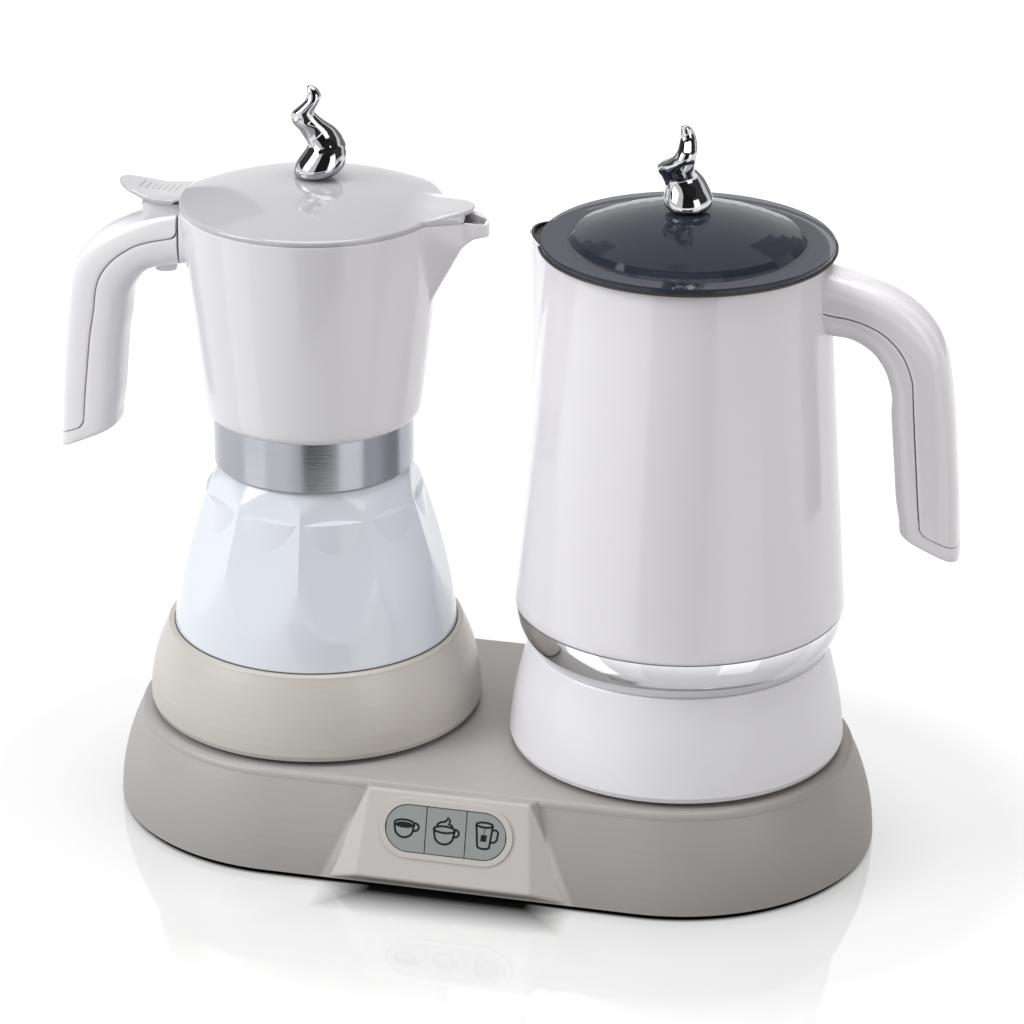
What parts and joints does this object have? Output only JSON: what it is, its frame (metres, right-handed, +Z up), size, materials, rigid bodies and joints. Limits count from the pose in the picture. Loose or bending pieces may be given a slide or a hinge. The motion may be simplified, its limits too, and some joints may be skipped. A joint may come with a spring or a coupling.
{
  "type": "electric moka pot with milk frother",
  "caption": "Powered base with push keys that carries an electric moka pot with facetted boiler and hinged lid, beside a tall milk frothing jug with spring whisk.",
  "frame": {"origin": "centre of the powered base on the table", "axes": "+Z up, +X from the moka pot's seat towards the frothing jug's seat, the keys face -Y"},
  "size_m": [0.3525, 0.1647, 0.2914],
  "materials": {
    "station_shell": "satin warm taupe",
    "dark_plastic": "fine grain",
    "foot_rubber": "matte",
    "screw_steel": "plain zinc",
    "board_green": "solder mask",
    "switch_black": "plain",
    "guide_plastic": "plain",
    "contact_brass": "plated",
    "key_plastic": "soft-touch grey-green with printed pictograms",
    "dome_silicone": "translucent",
    "boiler_enamel": "gloss white enamel on cast aluminium",
    "ring_champagne": "satin grey-beige",
    "element_metal": "oxidised",
    "valve_brass": "machined",
    "funnel_aluminium": "spun",
    "moka_white": "gloss light grey-white",
    "collar_aluminium": "satin turned",
    "gasket_rubber": "food-grade, plain",
    "knob_chrome": "mirror",
    "froth_paint": "pearl white gloss",
    "pot_coating": "dark non-stick coating",
    "band_mirror": "mirror",
    "froth_base_white": "satin white",
    "motor_steel": "plain",
    "magnet_dark": "coated",
    "whisk_plastic": "plain",
    "wire_steel": "polished",
    "lid_clear": "smoked see-through",
    "seal_rubber": "matte"
  },
  "bodies": {
    "station": {"station_top_shell": "station_shell", "station_bottom_plate": "dark_plastic", "station_feet": "foot_rubber", "station_screws": "screw_steel", "control_board": "board_green", "key_board": "board_green", "tact_switches": "switch_black", "key_guide": "guide_plastic", "cord_gland": "foot_rubber", "moka_power_socket": "dark_plastic", "frother_power_socket": "dark_plastic", "socket_contacts": "contact_brass", "return_dome_left": "dome_silicone", "return_dome_middle": "dome_silicone", "return_dome_right": "dome_silicone"},
    "left_key": {"button_left": "key_plastic"},
    "middle_key": {"button_middle": "key_plastic"},
    "right_key": {"button_right": "key_plastic"},
    "funnel": {"coffee_funnel": "funnel_aluminium"},
    "boiler_unit": {"boiler": "boiler_enamel", "boiler_base_ring": "ring_champagne", "boiler_base_cover": "dark_plastic", "boiler_heating_element": "element_metal", "boiler_thermostat": "guide_plastic", "boiler_power_plug": "dark_plastic", "safety_valve": "valve_brass", "boiler_base_screws": "screw_steel"},
    "collector": {"collector_jug": "moka_white", "threaded_collar": "collar_aluminium", "sealing_gasket": "gasket_rubber", "filter_plate": "funnel_aluminium", "coffee_column": "moka_white", "moka_handle_core": "moka_white", "moka_handle_cover": "moka_white", "moka_handle_screws": "screw_steel", "lid_hinge_pin": "screw_steel"},
    "moka_cover": {"moka_lid": "moka_white", "moka_lid_knob": "knob_chrome", "moka_knob_screw": "screw_steel"},
    "frothing_jug": {"frother_shell": "froth_paint", "frother_pot": "pot_coating", "frother_chrome_band": "band_mirror", "frother_base_ring": "froth_base_white", "frother_base_cover": "dark_plastic", "frother_heating_element": "element_metal", "frother_motor": "motor_steel", "frother_power_plug": "dark_plastic", "frother_base_screws": "screw_steel", "frother_handle_core": "froth_paint", "frother_handle_cover": "froth_paint", "frother_handle_screws": "screw_steel"},
    "rotor": {"magnet_rotor": "magnet_dark"},
    "whisk": {"whisk_hub": "whisk_plastic", "whisk_coil": "wire_steel"},
    "frother_cover": {"frother_lid": "lid_clear", "frother_lid_seal": "seal_rubber", "frother_lid_knob": "knob_chrome", "frother_knob_screw": "screw_steel"}
  },
  "joints": [
    {"name": "left_key_press", "type": "slide", "parent": "station", "child": "left_key", "axis": [0, 0.9563, -0.2924], "range_m": [0, 0.0012], "stiffness_N_per_m": 400, "deforming": ["return_dome_left"]},
    {"name": "middle_key_press", "type": "slide", "parent": "station", "child": "middle_key", "axis": [0, 0.9563, -0.2924], "range_m": [0, 0.0012], "stiffness_N_per_m": 400, "deforming": ["return_dome_middle"]},
    {"name": "right_key_press", "type": "slide", "parent": "station", "child": "right_key", "axis": [0, 0.9563, -0.2924], "range_m": [0, 0.0012], "stiffness_N_per_m": 400, "deforming": ["return_dome_right"]},
    {"name": "moka_lift", "type": "slide", "parent": "station", "child": "funnel", "axis": [0, 0, 1], "range_m": [0, 0.12]},
    {"name": "boiler_turn", "type": "hinge", "parent": "funnel", "child": "boiler_unit", "pos_m": [-0.07225, 0, 0.1475], "axis": [0, 0, 1], "range_deg": [0, 1080]},
    {"name": "collector_rise", "type": "slide", "parent": "funnel", "child": "collector", "axis": [0, 0, 1], "range_m": [0, 0.009]},
    {"name": "moka_lid_hinge", "type": "hinge", "parent": "collector", "child": "moka_cover", "pos_m": [-0.13525, 0, 0.2407], "axis": [0, -1, 0], "range_deg": [0, 48]},
    {"name": "frother_lift", "type": "slide", "parent": "station", "child": "frothing_jug", "axis": [0, 0, 1], "range_m": [0, 0.12]},
    {"name": "frother_lid_lift", "type": "slide", "parent": "frothing_jug", "child": "frother_cover", "axis": [0, 0, 1], "range_m": [0, 0.08]},
    {"name": "rotor_spin", "type": "hinge", "parent": "frothing_jug", "child": "rotor", "pos_m": [0.07225, 0, 0.107], "axis": [0, 0, 1], "continuous": true},
    {"name": "whisk_spin", "type": "hinge", "parent": "frothing_jug", "child": "whisk", "pos_m": [0.07225, 0, 0.12], "axis": [0, 0, 1], "continuous": true}
  ],
  "couplings": [
    {"joint": "collector_rise", "follows": "boiler_turn", "m_per_rad": 0.00047746},
    {"joint": "whisk_spin", "follows": "rotor_spin", "ratio": 1}
  ]
}
